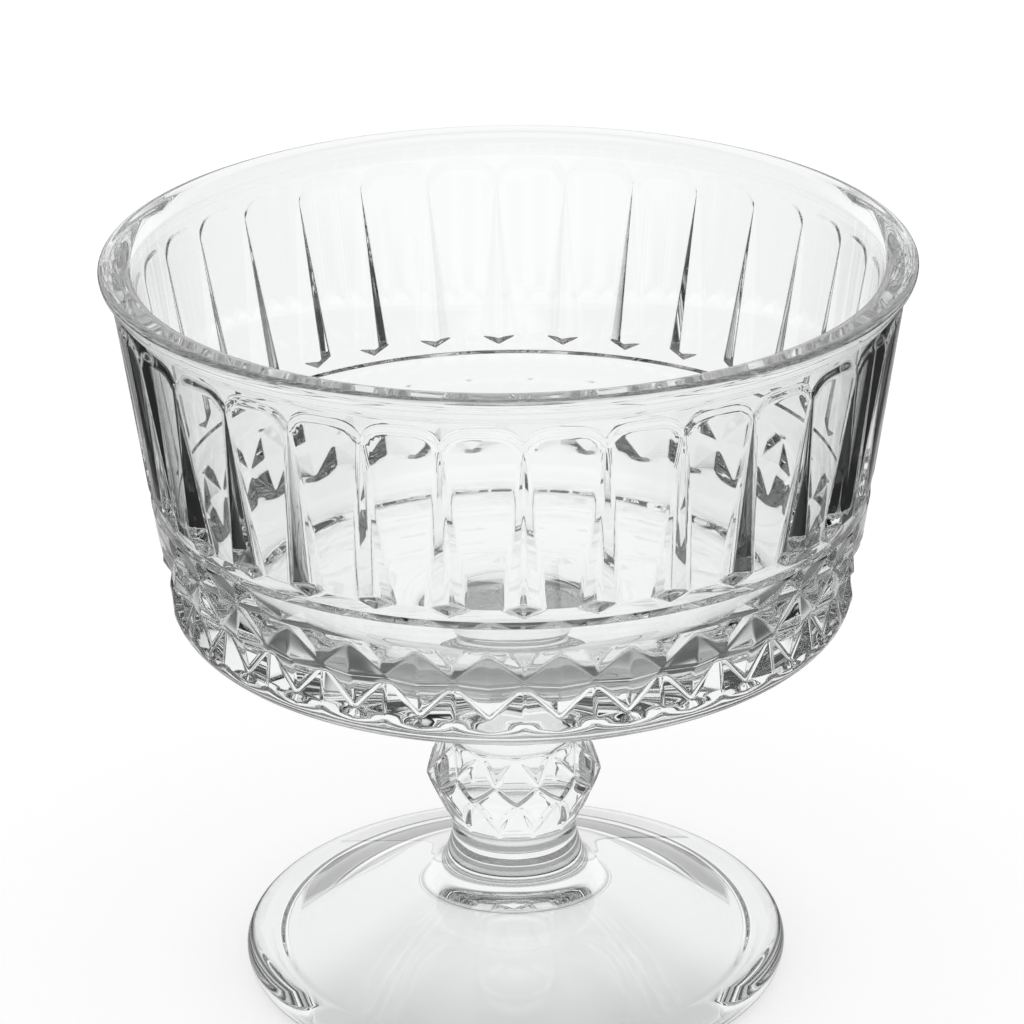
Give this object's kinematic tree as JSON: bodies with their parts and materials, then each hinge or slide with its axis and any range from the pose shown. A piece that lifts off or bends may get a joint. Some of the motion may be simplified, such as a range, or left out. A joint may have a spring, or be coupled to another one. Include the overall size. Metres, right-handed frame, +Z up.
{
  "type": "footed ice cream cup",
  "caption": "Footed dessert cup in clear pressed glass: fluted bowl over a band of cut diamonds, faceted knop stem and round foot, for ice cream.",
  "frame": {"origin": "middle of the foot's resting ring, on the table", "axes": "+Z up along the cup's axis; a groove of the bowl lies on each of the X and Y axes"},
  "size_m": [0.1104, 0.1104, 0.1068],
  "materials": {
    "clear_glass": "fire-polished clear pressed glass"
  },
  "bodies": {
    "root": {"bowl": "clear_glass", "stem_knop": "clear_glass", "stem_collar": "clear_glass", "foot": "clear_glass"}
  },
  "joints": []
}
